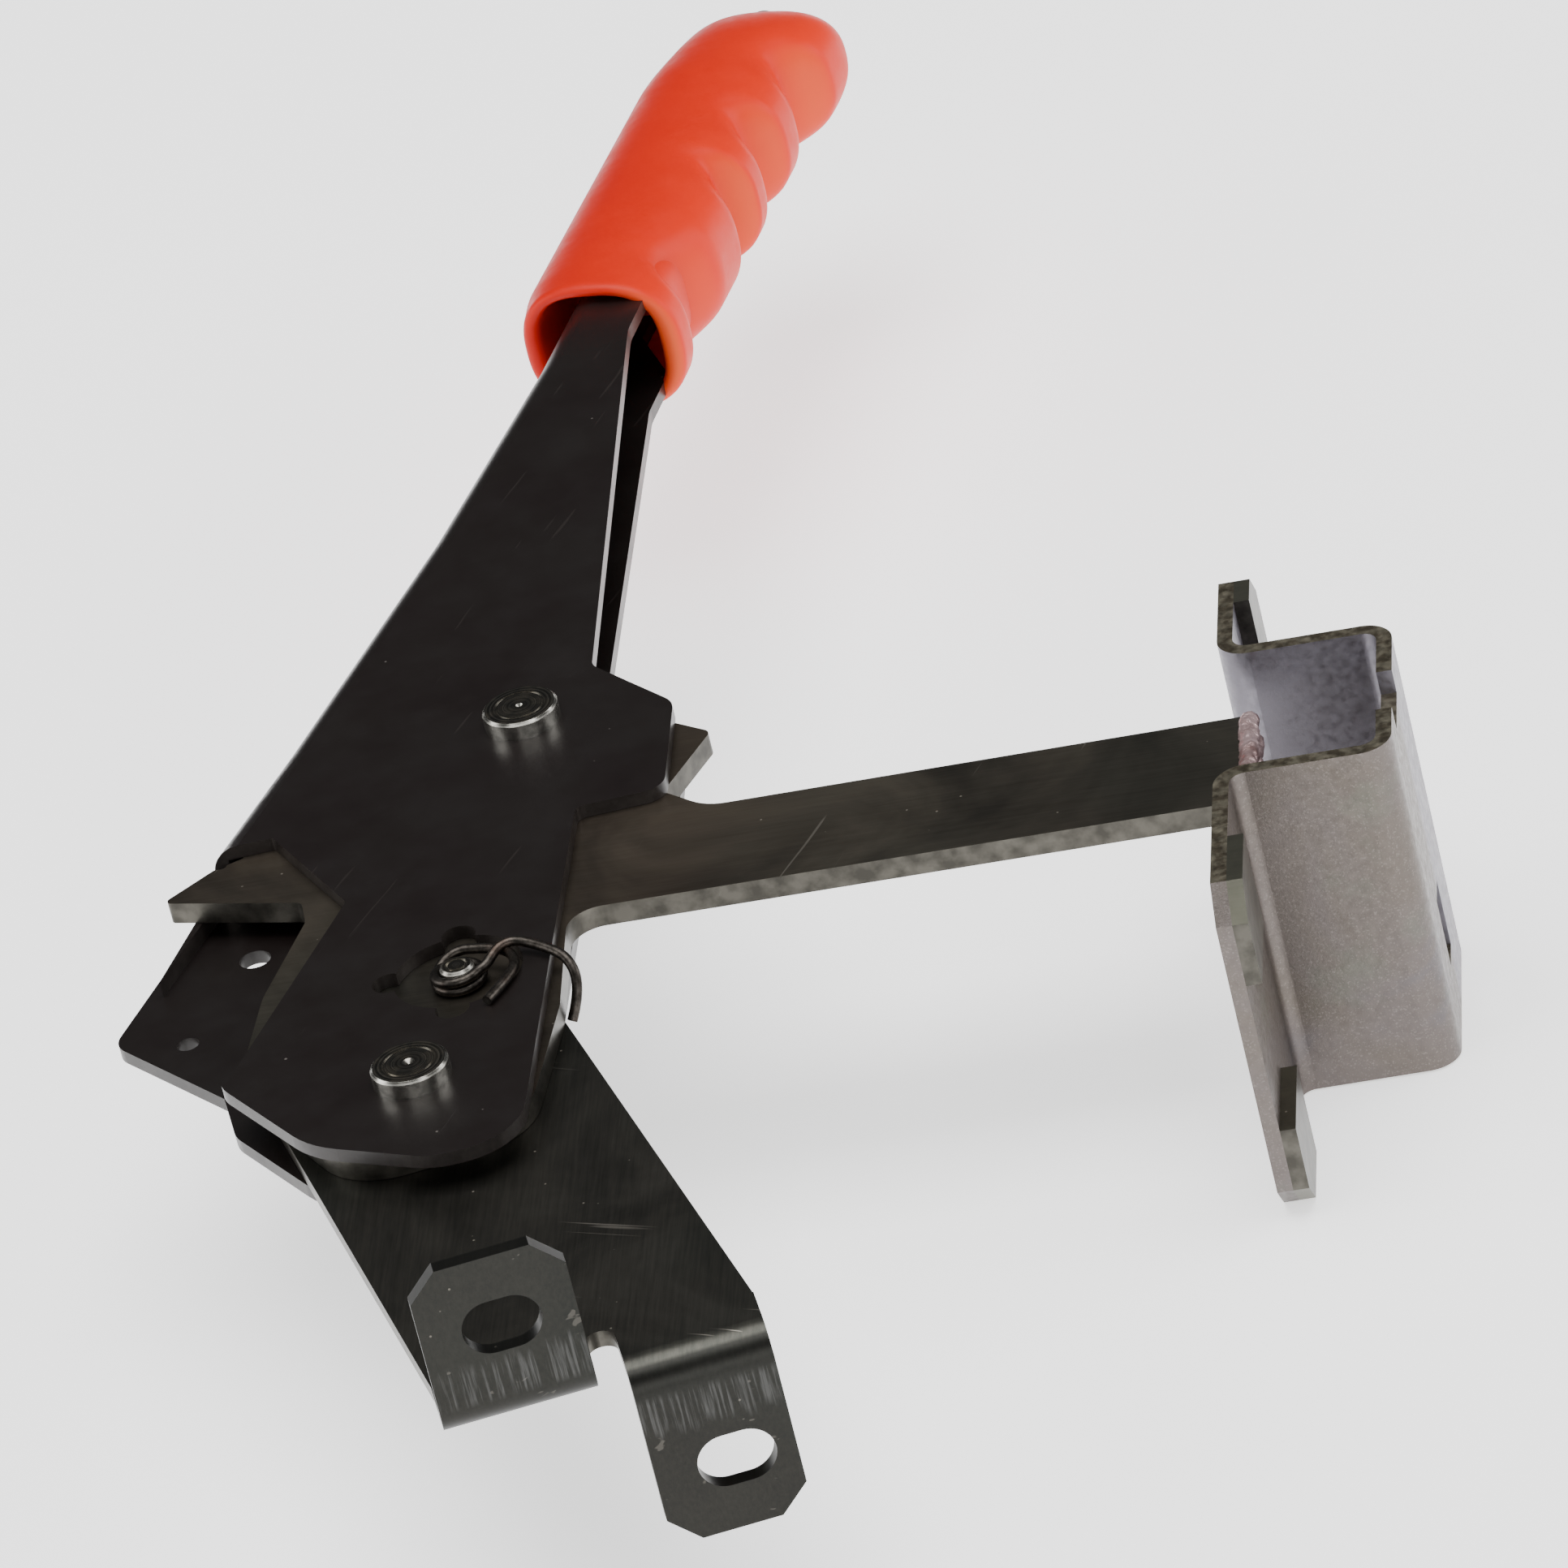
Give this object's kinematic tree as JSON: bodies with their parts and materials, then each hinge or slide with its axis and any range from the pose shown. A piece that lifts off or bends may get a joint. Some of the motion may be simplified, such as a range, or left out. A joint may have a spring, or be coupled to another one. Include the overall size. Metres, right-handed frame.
{
  "type": "hand lever",
  "caption": "Sheet-steel hand lever with a moulded finger grip and a side arm, sprung about a rivet on a slotted two-tab mounting bracket.",
  "frame": {"origin": "middle of the footprint of the lever lying on its side, on the plane it lies on", "axes": "+Z along the pivot, up from the plane the lever lies on; +Y along the lever from the mounting tabs to the grip; +X towards the saddle bracket at the arm's end"},
  "size_m": [0.2278, 0.4598, 0.0819],
  "materials": {
    "black_paint": "gloss",
    "zinc_plated_steel": "satin",
    "zinc_iridescent": "satin",
    "weld_metal": "rough",
    "rivet_steel": "satin",
    "spring_wire": "satin",
    "grip_vinyl": "satin"
  },
  "bodies": {
    "bracket": {"mounting_bracket": "zinc_plated_steel"},
    "lever": {"arm_plate": "zinc_plated_steel", "lever_channel": "black_paint", "hat_bracket": "zinc_iridescent", "arm_weld_beads": "weld_metal", "pivot_rivet": "rivet_steel", "upper_rivet": "rivet_steel", "spring_pin": "rivet_steel", "pivot_bush": "rivet_steel", "upper_spacer": "rivet_steel", "pivot_washer": "rivet_steel", "upper_washer": "rivet_steel", "torsion_spring": "spring_wire", "handle_grip": "grip_vinyl", "grip_end_plug": "rivet_steel", "upper_near_pad": "zinc_plated_steel", "upper_far_pad": "zinc_plated_steel", "lower_near_pad": "zinc_plated_steel", "lower_far_pad": "zinc_plated_steel"}
  },
  "joints": [
    {"name": "lever_pivot", "type": "hinge", "parent": "bracket", "child": "lever", "pos_m": [-0.06823, -0.1314, 0.0537], "axis": [0, 0, 1], "range_deg": [0, 40], "stiffness_Nm_per_rad": 0.15, "springref_deg": -17.19, "deforming": ["torsion_spring"]}
  ]
}
